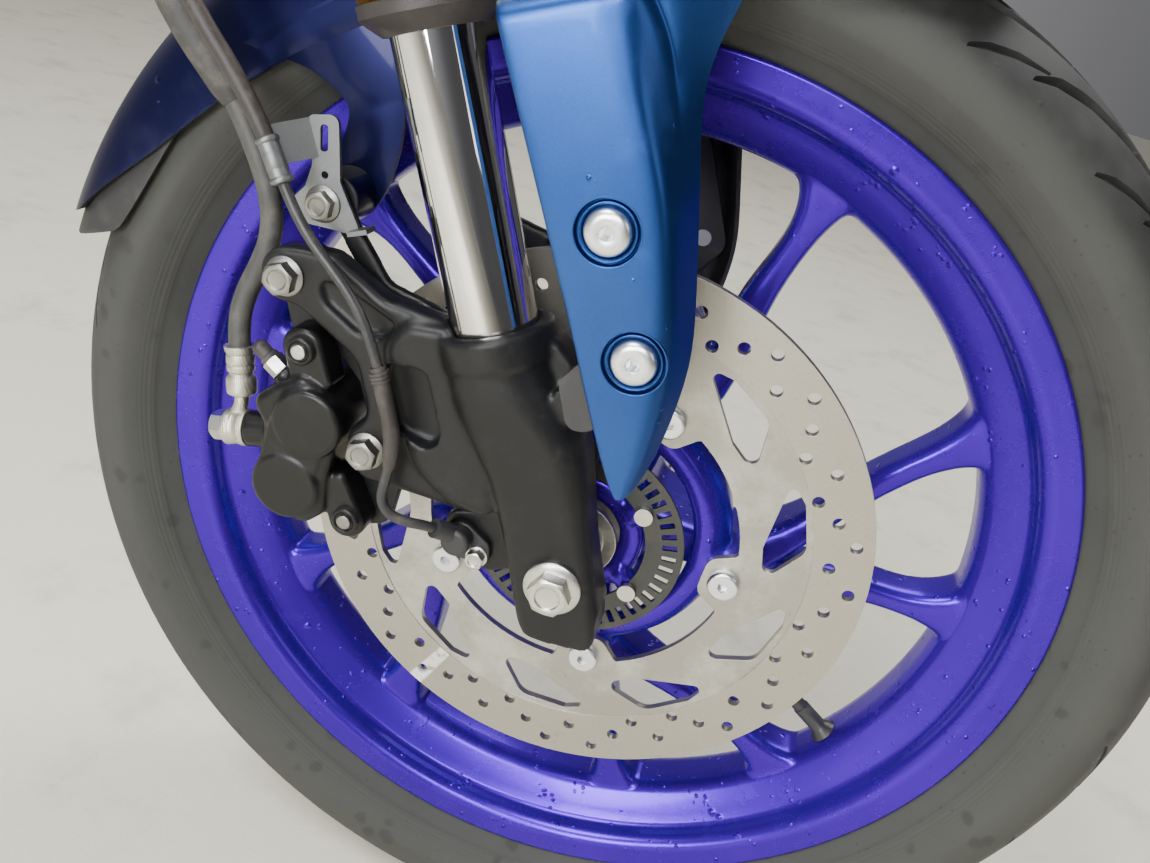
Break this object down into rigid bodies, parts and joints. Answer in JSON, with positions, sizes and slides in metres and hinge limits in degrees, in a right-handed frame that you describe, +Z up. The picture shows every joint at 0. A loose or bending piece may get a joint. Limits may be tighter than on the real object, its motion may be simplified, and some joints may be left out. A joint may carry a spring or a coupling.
{
  "type": "motorcycle front wheel and fork assembly",
  "caption": "Sport motorcycle front wheel with tyre, brake disc and caliper, upside-down fork, mudguard and yokes; the wheel turns on its axle.",
  "frame": {"origin": "centre of the steering stem's lower bearing seat, on the steering axis", "axes": "+X forward, +Y left, +Z up as the motorcycle stands; the steering axis leans back by the rake in the XZ plane"},
  "size_m": [0.633, 0.26, 0.9335],
  "materials": {
    "tyre_rubber": "matt rubber with road dust",
    "rim_paint": "gloss violet-blue paint",
    "disc_steel": "ground stainless steel",
    "zinc_bolts": "zinc plated",
    "tone_steel": "dark phosphated steel",
    "bearing_steel": "machined steel",
    "valve_rubber": "satin rubber",
    "collar_alloy": "machined",
    "leg_casting": "satin black paint on cast alloy",
    "stanchion_chrome": "hard chrome",
    "seal_rubber": "satin rubber",
    "gold_tube": "gold anodised",
    "cap_alloy": "machined and anodised",
    "yoke_alloy": "satin black paint on cast alloy",
    "caliper_paint": "gloss black",
    "pad_material": "sintered lining on steel plate",
    "guard_paint": "satin metallic blue",
    "black_plastic": "moulded black plastic",
    "cover_bolt_alloy": "satin alloy",
    "hose_rubber": "woven sleeve over rubber",
    "union_steel": "zinc plated",
    "bracket_steel": "grey painted sheet steel",
    "cable_rubber": "satin rubber"
  },
  "bodies": {
    "fork": {"axle": "zinc_bolts", "axle_collars": "collar_alloy", "fork_leg_right": "leg_casting", "fork_leg_left": "leg_casting", "stanchions": "stanchion_chrome", "dust_seals": "seal_rubber", "outer_tubes": "gold_tube", "fork_caps": "cap_alloy", "lower_yoke": "yoke_alloy", "upper_yoke": "yoke_alloy", "yoke_bolts": "zinc_bolts", "steering_stem": "bearing_steel", "stem_nut": "cap_alloy", "caliper_body": "caliper_paint", "brake_pads": "pad_material", "slide_pins": "zinc_bolts", "caliper_bracket": "leg_casting", "caliper_bolts": "zinc_bolts", "banjo_bolt": "zinc_bolts", "mudguard": "guard_paint", "fork_covers": "guard_paint", "cover_brackets": "black_plastic", "cover_bolts": "cover_bolt_alloy", "brake_hose": "hose_rubber", "hose_union": "union_steel", "hose_bracket": "bracket_steel", "speed_sensor": "black_plastic", "sensor_bolt": "zinc_bolts", "sensor_cable": "cable_rubber", "cable_plug": "black_plastic", "bracket_bolt": "zinc_bolts", "hose_ferrule": "union_steel", "bleed_nipple": "zinc_bolts", "pinch_bolt": "zinc_bolts"},
    "wheel": {"tyre": "tyre_rubber", "wheel_rim": "rim_paint", "brake_disc": "disc_steel", "disc_bolts": "zinc_bolts", "tone_ring": "tone_steel", "tone_ring_bolts": "zinc_bolts", "wheel_bearings": "bearing_steel", "valve": "valve_rubber"}
  },
  "joints": [
    {"name": "wheel_spin", "type": "hinge", "parent": "fork", "child": "wheel", "pos_m": [0.23603, 0, -0.41625], "axis": [0, 1, 0], "continuous": true}
  ]
}
